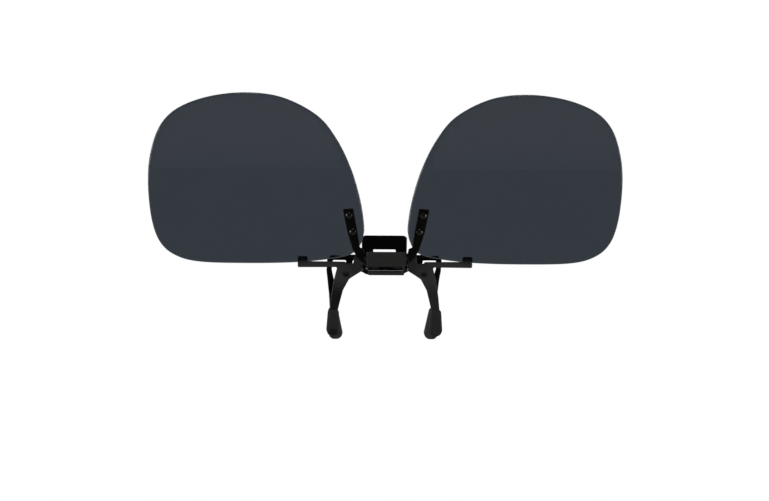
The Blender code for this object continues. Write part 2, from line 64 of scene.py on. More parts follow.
CAMERA_AWAY = 900 * MM
CAMERA_RISE, CAMERA_TURN, CAMERA_TILT = math.radians(5.0), math.radians(3.7), math.radians(0.65)
VIEW_WIDTH = 230.4 * MM
SENSOR = 36.0
FLOOR_DROP = 80 * MM
looking = Vector((
    math.sin(CAMERA_TURN) * math.cos(CAMERA_RISE), math.cos(CAMERA_TURN) * math.cos(CAMERA_RISE),
    -math.sin(CAMERA_RISE),
))
held = looking.to_track_quat("-Z", "Y") @ Quaternion((0.0, 0.0, 1.0), CAMERA_TILT)
AIM_OFFSET = (-0.42, 3.56, 0.0)
aim = Vector(datum) + held @ Vector(AIM_OFFSET) * MM
lens_data = bpy.data.cameras.new("camera")
lens_data.sensor_width = SENSOR
lens_data.lens = SENSOR * CAMERA_AWAY / VIEW_WIDTH
lens_data.clip_start = 10 * MM
camera = bpy.data.objects.new("camera", lens_data)
camera.location = aim - CAMERA_AWAY * looking
camera.rotation_euler = held.to_euler()
bpy.context.scene.collection.objects.link(camera)
bpy.context.scene.camera = camera
bpy.context.scene.view_settings.view_transform = "Standard"


class Value:
    """A shader socket whose + - and * add Math nodes."""

    def __init__(self, finish, socket):
        self.finish, self.socket = finish, socket

    def calc(self, operation, first, second):
        """One Math node on two numbers or sockets."""
        return self.finish.node("ShaderNodeMath", {"operation": operation}, {0: first, 1: second})

    def __add__(self, other):
        return self.calc("ADD", self, other)

    def __mul__(self, other):
        return self.calc("MULTIPLY", self, other)

    def __sub__(self, other):
        return self.calc("SUBTRACT", self, other)

    def __rsub__(self, other):
        return self.calc("SUBTRACT", other, self)

    __radd__, __rmul__ = __add__, __mul__


class Finish:
    """A material or world whose node() adds any node and gives back one of its outputs."""

    def __init__(self, name, owner=None):
        self.owner = owner or bpy.data.materials.new(name)
        self.owner.use_nodes = True
        self.tree = self.owner.node_tree

    def node(self, kind, settings=None, values=None, out=0):
        """Adds a node, sets it up, then gives its sockets their numbers or links."""
        made = self.tree.nodes.new(kind)
        for key, setting in (settings or {}).items():
            setattr(made, key, setting)
        for key, value in (values or {}).items():
            self.feed(made.inputs[key], value)
        return Value(self, made.outputs[out])

    def feed(self, socket, value):
        """Links a socket, or sets it where the value is a number or colour."""
        if isinstance(value, Value):
            self.tree.links.new(value.socket, socket)
        elif socket.type == "RGBA" and len(value) == 3:
            socket.default_value = (*value, 1.0)
        else:
            socket.default_value = value

    def surface(self, values):
        """Feeds the Principled shader's sockets."""
        for key, value in values.items():
            self.feed(self.tree.nodes["Principled BSDF"].inputs[key], value)

    def place(self):
        return self.node("ShaderNodeTexCoord", out="Object")

    def noise(self, size, detail=2.0, roughness=0.5, stretch=None):
        """Cloudy variation from 0 to 1 whose blotches are about size across."""
        at = self.place()
        if stretch:
            values = {"Vector": at, "Scale": stretch}
            at = self.node("ShaderNodeMapping", {"vector_type": "POINT"}, values)
        values = {"Vector": at, "Scale": 1 / size, "Detail": detail, "Roughness": roughness}
        return self.node("ShaderNodeTexNoise", {}, values, "Fac")

    def between(self, value, low, high):
        """How far a value is from low to high, held to 0 and 1."""
        values = {"Value": value, "From Min": low, "From Max": high}
        return self.node("ShaderNodeMapRange", {"clamp": True}, values)

    def mix(self, amount, first, second):
        """A colour part way between two colours."""
        settings = {"data_type": "RGBA"}
        return self.node("ShaderNodeMix", settings, {0: amount, 6: first, 7: second}, 2)

    def bump(self, height, depth, strength=1.0):
        """A bumped normal from a height of 0 to 1 that stands for depth."""
        values = {"Height": height, "Distance": depth, "Strength": strength}
        return self.node("ShaderNodeBump", {}, values)

    def attribute(self, name):
        return self.node("ShaderNodeAttribute", {"attribute_name": name}, out="Fac")


SWEEP_NEAR, SWEEP_FAR, SWEEP_BEND = -1.3, 0.9, 0.5
SWEEP_HALF_WIDTH = 2.0
SWEEP_ROWS = 49
along = np.linspace(0.0, 1.0, SWEEP_ROWS)
turn = np.clip((along - 0.5) * 2, 0, 1) * math.pi / 2
sweep_y = SWEEP_NEAR + (SWEEP_FAR - SWEEP_NEAR) * np.clip(along * 2, 0, 1) + SWEEP_BEND * np.sin(turn)
sweep_z = datum[2] - FLOOR_DROP + SWEEP_BEND * (1 - np.cos(turn))
sweep_z[-1] += 1.0
rows = np.stack([sweep_y, sweep_z], 1)
sweep_points = [(x, y, z) for x in (-SWEEP_HALF_WIDTH, SWEEP_HALF_WIDTH) for y, z in rows]
sweep_faces = [(i, i + SWEEP_ROWS, i + SWEEP_ROWS + 1, i + 1) for i in range(SWEEP_ROWS - 1)]
sweep_mesh = bpy.data.meshes.new("floor")
sweep_mesh.from_pydata(sweep_points, [], sweep_faces)
sweep_mesh.shade_smooth()
floor = bpy.data.objects.new("floor", sweep_mesh)
bpy.context.scene.collection.objects.link(floor)
sweep = Finish("white_sweep")
seen = sweep.node("ShaderNodeLightPath", out="Is Camera Ray")
seen = seen + sweep.node("ShaderNodeLightPath", out="Is Transmission Ray")
shown = sweep.node("ShaderNodeEmission", {}, {"Color": (1.0, 1.0, 1.0), "Strength": 1.0})
dull = sweep.node("ShaderNodeBsdfDiffuse", {}, {"Color": (0.5, 0.5, 0.5)})
either = sweep.node("ShaderNodeMixShader", {}, {0: seen, 1: dull, 2: shown})
sweep.feed(sweep.tree.nodes["Material Output"].inputs["Surface"], either)
sweep_mesh.materials.append(sweep.owner)

world = bpy.data.worlds.new("studio")
bpy.context.scene.world = world
studio = Finish("studio", world)
seen = studio.node("ShaderNodeLightPath", out="Is Camera Ray")
seen = seen + studio.node("ShaderNodeLightPath", out="Is Transmission Ray")
dim = studio.node("ShaderNodeBackground", {}, {"Color": (0.9, 0.95, 1.0), "Strength": 0.05})
white = studio.node("ShaderNodeBackground", {}, {"Color": (1.0, 1.0, 1.0), "Strength": 1.0})
either = studio.node("ShaderNodeMixShader", {}, {0: seen, 1: dim, 2: white})
studio.feed(studio.tree.nodes["World Output"].inputs["Surface"], either)


def softbox(name, place, size, power):
    """An area light that points at the clip."""
    data = bpy.data.lights.new(name, "AREA")
    data.size, data.energy = size, power
    lamp = bpy.data.objects.new(name, data)
    lamp.location = Vector(place)
    lamp.rotation_euler = (aim - lamp.location).to_track_quat("-Z", "Y").to_euler()
    bpy.context.scene.collection.objects.link(lamp)


WIDE, FRONT_POWER, BACK_POWER = 0.7, 9.0, 4.5
softbox("left", (-1.2, -0.75, 0.25), WIDE, FRONT_POWER)
softbox("right", (1.2, -0.7, 0.1), WIDE, FRONT_POWER)
softbox("above", (0.05, -0.6, 1.1), 0.25, 2.0)
softbox("behind_left", (-1.0, 0.9, 0.5), WIDE, BACK_POWER)
softbox("behind_right", (1.0, 0.9, 0.5), WIDE, BACK_POWER)


# The lenses. Each is a cut and edged sheet of dark grey tinted plastic, gently domed and polished,
# hollow towards the front while it is up, with its rim ground round.
LENS_RADIUS = 260.0
LENS_CENTRE = (38.9, 3.2, 25.0)
LENS_THICKNESS = 1.1
LENS_OUTLINE = (
    (42.4, 50.4), (53.8, 49.0), (62.8, 45.4), (67.9, 40.0), (70.5, 32.0), (71.15, 23.5), (70.1, 13.0),
    (67.6, 5.9), (63.0, 1.8), (55.5, -0.2), (41.0, -0.6), (27.0, -0.25), (17.0, 0.8), (11.6, 1.9),
    (8.9, 3.5), (7.45, 5.8), (6.75, 8.4), (6.65, 11.2), (7.8, 18.5),
    (10.5, 27.5), (14.9, 36.5), (20.9, 43.7), (31.3, 49.0),
)


def smooth_loop(points, steps=12):
    """A closed curve through the points: between each two, a cubic whose end slopes are half the
    step from the point before to the point after."""
    p = np.array(points, float)
    slope = (np.roll(p, -1, 0) - np.roll(p, 1, 0)) / 2
    t = (np.arange(steps) / steps)[None, :, None]
    here, there = p[:, None], np.roll(p, -1, 0)[:, None]
    leave, arrive = slope[:, None], np.roll(slope, -1, 0)[:, None]
    curve = (2 * t**3 - 3 * t**2 + 1) * here + (t**3 - 2 * t**2 + t) * leave
    curve = curve + (3 * t**2 - 2 * t**3) * there + (t**3 - t**2) * arrive
    return curve.reshape(-1, 2)


def rounded_loop(points, radius):
    """A polygon with each corner turned into a parabola that starts about a radius from it, or
    0.45 of the shorter side where that is less."""
    p = np.array(points, float)
    before, after = np.roll(p, 1, 0) - p, np.roll(p, -1, 0) - p
    reach = [np.linalg.norm(side, axis=1) for side in (before, after)]
    cosine = (before * after).sum(1) / (reach[0] * reach[1])
    tangent = np.sqrt((1 - cosine) / (1 + cosine + 1e-9))
    back = np.minimum(radius / np.maximum(tangent, 1e-6), 0.45 * np.minimum(*reach))[:, None]
    start, end = p + before / reach[0][:, None] * back, p + after / reach[1][:, None] * back
    t = np.linspace(0, 1, 7)[None, :, None]
    curve = (1 - t) ** 2 * start[:, None] + 2 * t * (1 - t) * p[:, None] + t**2 * end[:, None]
    return curve.reshape(-1, 2)


def spaced(loop, step):
    """A closed loop's points again, an even step apart along it."""
    closed = np.vstack([loop, loop[:1]])
    run = np.concatenate([[0], np.cumsum(np.linalg.norm(np.diff(closed, axis=0), axis=1))])
    at = np.linspace(0, run[-1], max(12, round(run[-1] / step)), endpoint=False)
    return np.stack([np.interp(at, run, closed[:, k]) for k in (0, 1)], 1)


def signed_area(loop):
    """Half the sum of each point's cross product with the next, over 0 where it runs anticlockwise."""
    a, b = loop, np.roll(loop, -1, 0)
    return (a[:, 0] * b[:, 1] - b[:, 0] * a[:, 1]).sum() / 2


def inside(points, loops):
    """Which points lie inside: those whose ray to the right crosses the loops an odd number of times."""
    odd = np.zeros(len(points), bool)
    x, y = points[:, :1], points[:, 1:]
    for loop in loops:
        a, b = loop, np.roll(loop, -1, 0)
        spans = (a[None, :, 1] > y) != (b[None, :, 1] > y)
        rise = np.where(b[:, 1] == a[:, 1], 1.0, b[:, 1] - a[:, 1])
        meets = a[:, 0] + (y - a[:, 1]) * (b[:, 0] - a[:, 0]) / rise
        odd ^= (np.sum(spans & (x < meets), axis=1) % 2).astype(bool)
    return odd


def inset(loop, distance):
    """A loop moved to its left by a distance, along the normal of the line between its neighbours."""
    way = np.roll(loop, -1, 0) - np.roll(loop, 1, 0)
    way = way / np.linalg.norm(way, axis=1)[:, None]
    return loop + distance * np.stack([-way[:, 1], way[:, 0]], 1)


# A cap's corner on a ring carries this on top of its number until the caps are numbered.
ON_RING = 1_000_000


def sheet(loops, thickness, edge, surface, cell, steps=4):
    """A closed sheet as (points, faces, worn). The loops are its outline and its holes. Round each,
    rings follow a quarter circle of radius edge on both faces, moved in by edge * (1 - cos) and out
    by edge * sin. Both faces are a net of triangles over points a cell apart. surface(u, v) gives a
    point's place and normal, and depths run along that normal. worn is 1 on the rounded edges."""
    loops = [l if (signed_area(l) > 0) == (k == 0) else l[::-1] for k, l in enumerate(loops)]
    rise = np.linspace(0, math.pi / 2, steps + 1)
    half = thickness / 2
    moved = np.concatenate([edge * (1 - np.sin(rise)), edge * (1 - np.sin(rise[::-1]))])
    depth = np.concatenate([-half + edge * (1 - np.cos(rise)), half - edge * (1 - np.cos(rise[::-1]))])
    if half - edge < 1e-6:
        moved, depth = np.delete(moved, steps), np.delete(depth, steps)
    rim = [inset(l, edge) for l in loops]
    low, high = rim[0].min(0), rim[0].max(0)
    grid = [np.arange(low[k] + cell / 2, high[k], cell) for k in (0, 1)]
    fill = np.stack(np.meshgrid(*grid), -1).reshape(-1, 2)
    fill = fill[inside(fill, [inset(l, edge + 0.35 * cell) for l in loops])]
    flat = np.vstack([*rim, fill])
    starts = np.cumsum([0] + [len(l) for l in loops])
    walls = [(s + i, s + (i + 1) % n) for s, n in zip(starts, map(len, loops)) for i in range(n)]
    net = delaunay_2d_cdt([Vector(p) for p in flat], walls, [], 0, 1e-5)
    where = np.array([origin[0] for origin in net[3]])
    faces = where[np.array([f for f in net[2] if len(f) == 3])]
    faces = faces[inside(flat[faces].mean(1), rim)]
    a, b, c = (flat[faces[:, k]] for k in range(3))
    over = (b[:, 0] - a[:, 0]) * (c[:, 1] - a[:, 1]) - (b[:, 1] - a[:, 1]) * (c[:, 0] - a[:, 0]) < 0
    faces[over] = faces[over][:, ::-1]
    points, worn, all_faces, count = [], [], [], 0
    edge_worn = np.sin(np.arange(len(depth)) / (len(depth) - 1) * math.pi)
    for l, s in zip(loops, starts):
        n = len(l)
        for move, deep, wear in zip(moved, depth, edge_worn):
            points.append(np.column_stack([inset(l, move), np.full(n, deep)]))
            worn.append(np.full(n, 1.0 if wear > 0.2 else 0.0))
        i = np.arange(n)
        j = (i + 1) % n
        for k in range(len(depth) - 1):
            near, far = count + k * n, count + (k + 1) * n
            all_faces.append(np.stack([near + i, far + i, far + j, near + j], 1))
        faces = np.where((faces >= s) & (faces < s + n), faces - s + ON_RING + count, faces)
        count += n * len(depth)
    ring_ends = [len(l) * (len(depth) - 1) for l in loops]
    back = faces.copy()
    counts = np.cumsum([0] + [len(l) * len(depth) for l in loops])
    for k, end in enumerate(ring_ends):
        low_id, high_id = ON_RING + counts[k], ON_RING + counts[k] + len(loops[k])
        back = np.where((faces >= low_id) & (faces < high_id), faces + end, back)
    for cap, deep in ((faces, -half), (back, half)):
        free = cap < ON_RING
        cap[free] += count - starts[-1]
        cap[~free] -= ON_RING
        points.append(np.column_stack([fill, np.full(len(fill), deep)]))
        worn.append(np.zeros(len(fill)))
        count += len(fill)
    all_faces += [faces, back[:, ::-1]]
    points = np.vstack(points)
    place, normal = surface(points[:, 0], points[:, 1])
    return place + normal * points[:, 2:], all_faces, np.concatenate(worn)


def joined(*shells):
    """Several closed shells as one set of points, faces and wear."""
    starts = np.cumsum([0] + [len(s[0]) for s in shells])
    faces = [block + start for s, start in zip(shells, starts) for block in s[1]]
    return np.vstack([s[0] for s in shells]), faces, np.concatenate([s[2] for s in shells])


def finished(name, shell, body, nodes, finish, painted_shade=None):
    """Makes a piece from a shell in millimetres from the datum, and rides it on its body, if it has
    one. The last argument is painted shade: 0 where none is painted and 1 on the darkest."""
    points, blocks, worn = shell
    mesh = bpy.data.meshes.new(name)
    mesh.from_pydata((points * MM + datum).tolist(), [], [f for b in blocks for f in b.tolist()])
    mesh.shade_smooth()
    mesh.attributes.new("worn", "FLOAT", "POINT").data.foreach_set("value", worn.astype(np.float32))
    painted_shade = np.zeros(len(points)) if painted_shade is None else painted_shade
    mesh.attributes.new("painted_shade", "FLOAT", "POINT").data.foreach_set("value", painted_shade.astype(np.float32))
    mesh.materials.append(finish.owner)
    made = bpy.data.objects.new(name, mesh)
    bpy.context.scene.collection.objects.link(made)
    if body:
        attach(made, body)
    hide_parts(*nodes)
    return made


def lens_dome(behind=0.0):
    """The sphere through the lens, moved back: y = y0 - R + sqrt(R^2 - r^2) about the lens centre."""
    def surface(x, z):
        out = np.stack([np.abs(x) - LENS_CENTRE[0], np.zeros_like(x), z - LENS_CENTRE[2]], 1)
        out[:, 1] = np.sqrt(LENS_RADIUS**2 - out[:, 0] ** 2 - out[:, 2] ** 2)
        normal = out / LENS_RADIUS
        place = normal * (LENS_RADIUS + behind)
        place = place + np.array([LENS_CENTRE[0], LENS_CENTRE[1] - LENS_RADIUS, LENS_CENTRE[2]])
        mirror = np.stack([np.sign(x), np.ones_like(x), np.ones_like(x)], 1)
        return place * mirror, normal * mirror
    return surface


tint = Finish("grey_tint")
smear = tint.between(tint.noise(9 * MM, 3.0), 0.35, 0.75)
tint.surface({
    "Base Color": tint.mix(smear, (0.0350, 0.0418, 0.0518), (0.0342, 0.0410, 0.0508)),
    "Roughness": 0.008 * smear,
    "Transmission Weight": 1.0,
    "IOR": 1.49,
    "Normal": tint.bump(tint.noise(14 * MM, 1.0), 0.01 * MM, 0.3),
})

for name, side in SIDES:
    outline = spaced(smooth_loop(LENS_OUTLINE), 0.8) * (side, 1)
    shell = sheet([outline], LENS_THICKNESS, 0.4, lens_dome(LENS_THICKNESS / 2), 2.2, 6)
    finished(f"tinted_lens_{name}", shell, "lens_flip", [f"lens_{name}"], tint)


# The lens arms. Each is a stamped strip of black painted steel that lies on the front of its lens,
# with its foot folded forward into a knuckle on the flip axle.
ARM_THICKNESS = 0.6
FIT = 0.04
ARM_OUTLINE = (
    (9.85, 16.1), (13.0, 15.8), (11.6, 9.0), (9.9, 3.6), (8.7, 1.5), (7.3, 0.1), (6.1, -0.3),
    (6.1, 2.4), (6.55, 3.0), (6.75, 4.1), (7.8, 4.4), (8.5, 9.0),
)
FLIP_AXIS = (0.0, 0.6)
KNUCKLE = (6.1, 6.7, 1.5)


def circle(centre, radius, count=48):
    """A ring of points: the centre plus radius times the cosine and sine of an even turn."""
    turn = np.arange(count) / count * math.tau
    return np.array(centre) + radius * np.stack([np.cos(turn), np.sin(turn)], 1)


def facing_side(x):
    """A flat sheet across the clip, drawn in (y, z) at one x."""
    def surface(y, z):
        place = np.stack([np.full_like(y, x), y, z], 1)
        return place, np.broadcast_to((-1.0, 0.0, 0.0), place.shape)
    return surface


def painted(name, colour, worn_colour, roughness, grain, chips, gloss):
    """Baked paint on steel: fine orange peel, a little dust, edges rubbed lighter, and painted shade
    near black.
    """
    paint = Finish(name)
    cloud = paint.noise(3 * MM, 3.0)
    patches = paint.between(paint.noise(0.5 * MM, 4.0, 0.6), 1 - chips, 1.12 - chips)
    rubbed = patches * paint.attribute("worn")
    base = paint.mix(cloud, tuple(0.85 * c for c in colour), tuple(1.15 * c for c in colour))
    # Painted shade: where the attribute read here is high, the colour goes to near black.
    base = paint.mix(paint.attribute("painted_shade"), base, (0.001, 0.001, 0.001))
    paint.surface({
        "Base Color": paint.mix(rubbed, base, worn_colour),
        "Roughness": (roughness + 0.12 * cloud - 0.15 * rubbed) * (1 - 0.6 * paint.attribute("painted_shade")),
        "Metallic": 0.6 * rubbed,
        "Specular IOR Level": gloss,
        "Normal": paint.bump(paint.noise(grain, 2.0), 0.02 * MM, 0.35),
    })
    return paint


black_paint = painted(
    "black_paint", (0.0010, 0.0010, 0.0006), (0.02, 0.02, 0.015), 0.26, 0.22 * MM, 0.42, 0.16
)

for name, side in SIDES:
    outline = spaced(rounded_loop(ARM_OUTLINE, 0.5), 0.25) * (side, 1)
    strip = sheet([outline], ARM_THICKNESS, 0.14, lens_dome(-FIT - ARM_THICKNESS / 2), 0.8)
    across = side * (KNUCKLE[0] + KNUCKLE[1]) / 2
    knuckle_loops = [circle(FLIP_AXIS, KNUCKLE[2]), circle(FLIP_AXIS, 0.94, 36)]
    knuckle = sheet(knuckle_loops, KNUCKLE[1] - KNUCKLE[0], 0.12, facing_side(across), 0.4)
    shell = joined(strip, knuckle)
    finished(f"arm_strip_{name}", shell, "lens_flip", [f"lens_arm_{name}"], black_paint)


# The lens screws, washers and nuts. Small blackened steel screws with domed heads go through each
# arm and lens into a nylon washer and a hexagon nut behind the lens.
LENS_SCREWS = (("upper", 11.1, 13.9), ("lower", 9.95, 9.0))
HEAD_RADIUS = 0.95
HEAD_RISE = 0.42
SHANK_RADIUS = 0.5


def softened(profile, radius, count=4):
    """An open profile with each inner corner turned into a parabola a radius back from it."""
    p = np.array(profile, float)
    t = np.linspace(0, 1, count)[:, None]
    line = [p[:1]]
    for a, b, c in zip(p, p[1:], p[2:]):
        back = min(radius, 0.45 * np.linalg.norm(a - b), 0.45 * np.linalg.norm(c - b))
        start = b + (a - b) / np.linalg.norm(a - b) * back
        end = b + (c - b) / np.linalg.norm(c - b) * back
        line.append((1 - t) ** 2 * start + 2 * t * (1 - t) * b + t**2 * end)
    return np.vstack([*line, p[-1:]])


def turned(profile, foot, axis, sides=40):
    """A profile of (radius, height) swept round an axis: each point goes to height along the axis
    plus radius times an even turn across it. The first and last points lie on the axis."""
    axis = np.array(axis, float) / np.linalg.norm(axis)
    across = np.cross(axis, (0.0, 0.0, 1.0) if abs(axis[2]) < 0.9 else (1.0, 0.0, 0.0))
    across = across / np.linalg.norm(across)
    other = np.cross(axis, across)
    turn = np.arange(sides) / sides * math.tau
    spoke = np.cos(turn)[:, None] * across + np.sin(turn)[:, None] * other
    rings = profile[1:-1]
    points = rings[:, 1, None, None] * axis + rings[:, 0, None, None] * spoke[None]
    points = np.vstack([points.reshape(-1, 3), profile[[0, -1], 1, None] * axis]) + np.array(foot)
    i = np.arange(sides)
    j = (i + 1) % sides
    faces = [np.stack([k + i, k + j, k + sides + j, k + sides + i], 1) for k in
             range(0, (len(rings) - 1) * sides, sides)]
    end = (len(rings) - 1) * sides
    low, high = len(points) - 2, len(points) - 1
    faces.append(np.stack([np.full(sides, low), j, i], 1))
    faces.append(np.stack([np.full(sides, high), end + i, end + j], 1))
    return points, faces, np.zeros(len(points))


def on_lens(side, x, z, depth):
    """A point at a depth behind the lens's front face, and the way square through the lens."""
    place, normal = lens_dome(depth)(np.array([side * x]), np.array([z]))
    return place[0], normal[0]


def square_to(foot, normal):
    """A flat sheet square to a direction, drawn in (u, v) about a foot point."""
    u = np.cross(normal, (0.0, 0.0, 1.0))
    u = u / np.linalg.norm(u)
    v = np.cross(normal, u)
    way = np.cross(v, u)
    def surface(a, b):
        place = foot + a[:, None] * u + b[:, None] * v
        return place, np.broadcast_to(way, place.shape)
    return surface


blackened = Finish("blackened_steel")
rubbed = blackened.between(blackened.noise(0.5 * MM, 3.0), 0.5, 0.8)
blackened.surface({
    "Base Color": blackened.mix(rubbed, (0.045, 0.045, 0.040), (0.12, 0.115, 0.10)),
    "Metallic": 1.0,
    "Roughness": 0.20 + 0.10 * rubbed,
    "Normal": blackened.bump(blackened.noise(0.1 * MM, 2.0), 0.006 * MM, 0.5),
})

nylon = Finish("washer_nylon")
nylon.surface({
    "Base Color": nylon.mix(nylon.noise(1.2 * MM, 2.0), (0.020, 0.020, 0.020), (0.035, 0.034, 0.032)),
    "Roughness": 0.42 + 0.12 * nylon.noise(0.4 * MM),
    "Normal": nylon.bump(nylon.noise(0.15 * MM), 0.01 * MM, 0.4),
})

arm_face = -2 * FIT - ARM_THICKNESS
nut_face = LENS_THICKNESS + 2 * FIT + 0.25
for name, side in SIDES:
    for level, x, z in LENS_SCREWS:
        foot, way = on_lens(side, x, z, arm_face)
        shank = nut_face + 0.85 - arm_face
        dome = [(HEAD_RADIUS * math.cos(a), -HEAD_RISE * (0.4 + 0.6 * math.sin(a)))
                for a in np.linspace(math.pi / 2, 0.0, 9)]
        profile = softened([(SHANK_RADIUS, shank), (SHANK_RADIUS, 0.0), (HEAD_RADIUS - 0.05, 0.0)], 0.05)
        profile = np.vstack([dome, profile[::-1], [(0.0, shank)]])
        shell = turned(profile, foot, way, 48)
        screw = f"screw_{name}_{level}"
        finished(screw, shell, "lens_flip", [f"lens_screw_{name}_{level}"], blackened)

        foot, way = on_lens(side, x, z, LENS_THICKNESS + FIT + 0.125)
        loops = [circle((0, 0), 1.25), circle((0, 0), 0.54, 30)]
        shell = sheet(loops, 0.25, 0.07, square_to(foot, way), 0.4)
        washer = f"washer_{name}_{level}"
        finished(washer, shell, "lens_flip", [f"lens_washer_{name}_{level}"], nylon)

        foot, way = on_lens(side, x, z, nut_face + 0.35)
        loops = [spaced(rounded_loop(circle((0, 0), 1.15, 6), 0.08), 0.1), circle((0, 0), 0.54, 30)]
        shell = sheet(loops, 0.7, 0.09, square_to(foot, way), 0.4)
        nut = f"nut_{name}_{level}"
        finished(nut, shell, "lens_flip", [f"lens_nut_{name}_{level}"], blackened)


# The hinge housing and its end plug. A small moulded black box with softened edges holds the flip
# axle; the plug closes its right end and leaves a fine seam.
FOOT = dict(x=3.2, radius=1.1, down=-1.81)


def facing_front(y):
    """A flat sheet square to the view, drawn in (x, z) at one y."""
    def surface(x, z):
        place = np.stack([x, np.full_like(x, y), z], 1)
        return place, np.broadcast_to((0.0, 1.0, 0.0), place.shape)
    return surface


def rectangle(left, right, bottom, top, corner, step):
    """A rectangle with rounded corners, its points a step apart."""
    corners = [(left, bottom), (right, bottom), (right, top), (left, top)]
    return spaced(rounded_loop(corners, corner), step)


moulding = Finish("housing_moulding")
grit = moulding.noise(0.16 * MM, 2.0)
cloud = moulding.noise(2.2 * MM, 3.0)
fresh = moulding.mix(cloud, (0.0125, 0.0125, 0.0115), (0.0155, 0.0155, 0.0142))
moulding.surface({
    # Painted shade: where the attribute read here is high, the colour goes to near black.
    "Base Color": moulding.mix(moulding.attribute("painted_shade"), fresh, (0.002, 0.002, 0.0015)),
    "Roughness": 0.50 + 0.14 * cloud,
    "Specular IOR Level": 0.35,
    "Normal": moulding.bump(grit, 0.02 * MM, 0.35),
})

body_loop = rectangle(-BOX["x"], BOX["plug"] - 3 * FIT, BOX["bottom"], BOX["top"], 0.3, 0.15)
shell = sheet([body_loop], 2 * BOX["y"], 0.22, facing_front(0.0), 0.6)
foot_profile = np.array([(0.0, FOOT["down"]), (FOOT["radius"], FOOT["down"]),
                         (FOOT["radius"], BOX["bottom"] + 0.3), (0.0, BOX["bottom"] + 0.3)])
foot_profile = softened(foot_profile, 0.06)
feet = [turned(foot_profile, (side * FOOT["x"], 0.0, 0.0), (0, 0, 1)) for _, side in SIDES]
shell = joined(shell, *feet)
# Painted shade: the feet below the housing's bottom are painted near black, as the shaded gap between
# the housing and the lip.
painted_shade = np.clip((BOX["bottom"] + 0.05 - shell[0][:, 2]) / 0.1, 0, 1)
finished("housing_box", shell, "front_jaw", ["hinge_housing"], moulding, painted_shade)
plug_loop = rectangle(BOX["plug"], BOX["x"], BOX["bottom"], BOX["top"], 0.25, 0.15)
shell = sheet([plug_loop], 2 * BOX["y"], 0.16, facing_front(0.0), 0.4)
finished("housing_end_plug", shell, "front_jaw", ["housing_plug"], moulding)


# The front jaw. One blank of sheet steel, painted matte dark grey: a plate with a wing and a leg on
# each side and a pressed dimple at each leg's root, folded into a tray and lip under the housing.
SHEET = 0.8
PLATE = (3.2, 4.0)
LEG_END = (14.1, 16.6, -21.6)
PLATE_HALF = (
    (9.5, 1.5), (9.5, -0.7), (11.6, -0.7), (12.0, -0.18), (23.2, -0.1), (23.4, 1.5), (26.3, 1.5),
    (26.3, -1.9), (14.4, -1.8),
    (15.4, -5.7), (16.15, -10.4), (LEG_END[1], -14.8),
    (LEG_END[1], LEG_END[2]), (LEG_END[0], LEG_END[2]),
    (LEG_END[0], -14.8), (13.6, -12.6), (12.6, -8.7), (10.8, -5.4), (9.3, -4.4), (7.0, -2.95),
    (7.0, -0.95), (5.3, -0.95), (5.3, -2.2),
)
DIMPLE = (11.6, -3.9, 0.95, 0.62, 0.45)
PIN_AXIS = (5.3, -2.0)
EAR_RADIUS = 1.1


def both_halves(points):
    """A full outline from its right half."""
    return np.array([*points, *((-x, z) for x, z in reversed(points))])


def pressed_plate(x, z):
    """The flat plate with its dimples: y falls back by depth times a smooth step of the oval radius."""
    place, normal = facing_front(sum(PLATE) / 2)(x, z)
    centre_x, centre_z, half_x, half_z, depth = DIMPLE
    radius = np.hypot((np.abs(x) - centre_x) / half_x, (z - centre_z) / half_z)
    fall = np.clip((1.25 - radius) / 0.5, 0, 1)
    place[:, 1] += depth * fall**2 * (3 - 2 * fall)
    return place, normal


def folded(path):
    """A sheet that follows a (y, z) path, drawn in (x, length along the path)."""
    path = np.array(path, float)
    run = np.concatenate([[0], np.cumsum(np.linalg.norm(np.diff(path, axis=0), axis=1))])
    way = np.gradient(path, run, axis=0)
    def surface(x, length):
        y, z, dy, dz = (np.interp(length, run, column) for column in (*path.T, *way.T))
        size = np.hypot(dy, dz)
        normal = np.stack([np.zeros_like(x), dz / size, -dy / size], 1)
        return np.stack([x, y, z], 1), normal
    return surface, run[-1]


def ear(root, across, thickness):
    """A lug from a sheet at the y named root to the jaw pin, rounded about it and drilled."""
    way = 1 if root < PIN_AXIS[0] else -1
    turn = np.linspace(-math.pi / 2, math.pi / 2, 25) * way
    tip = np.array(PIN_AXIS) + EAR_RADIUS * np.stack([way * np.cos(turn), np.sin(turn)], 1)
    outline = np.vstack([tip, [(root, tip[-1, 1]), (root, tip[0, 1])]])
    loops = [spaced(outline, 0.18), circle(PIN_AXIS, 0.64, 30)]
    return sheet(loops, thickness, 0.1, facing_side(across), 0.4)


grey_paint = painted(
    "grey_paint", (0.029, 0.029, 0.0276), (0.11, 0.11, 0.10), 0.46, 0.25 * MM, 0.40, 0.4
)

plate_loop = spaced(rounded_loop(both_halves(PLATE_HALF), 0.45), 0.3)
plate = sheet([plate_loop], SHEET, 0.16, pressed_plate, 0.7)
fold_path = softened([(3.6, -2.25), (-1.2, -2.25), (-1.2, -3.75)], 0.55, 12)
fold, fold_length = folded(fold_path)
tray = sheet([rectangle(-5.4, 5.4, 0.0, fold_length, 0.3, 0.2)], SHEET, 0.16, fold, 0.3)
ears = [ear(PLATE[1] - 0.15, side * 4.8, 0.7) for _, side in SIDES]
shell = joined(plate, tray, *ears)
# Painted shade darkens the dimples, the legs towards their ends and most on the left, and the tray
# under the housing; the lip is painted a little darker.
x, y, z = shell[0].T
pit = np.hypot((np.abs(x) - DIMPLE[0]) / DIMPLE[2], (z - DIMPLE[1]) / DIMPLE[3])
painted_leg_shade = np.clip((-5.0 - z) / 5.0, 0, 1) * np.where(x < 0, 0.95, 0.5)
painted_shade = np.maximum(0.97 * np.clip((1.5 - pit) / 0.4, 0, 1), painted_leg_shade)
painted_shade = np.maximum(painted_shade, np.where(z > -2.5, 0.97, 0.35) * (y < 0))
finished("front_plate", shell, "front_jaw", ["front_jaw"], grey_paint, painted_shade)

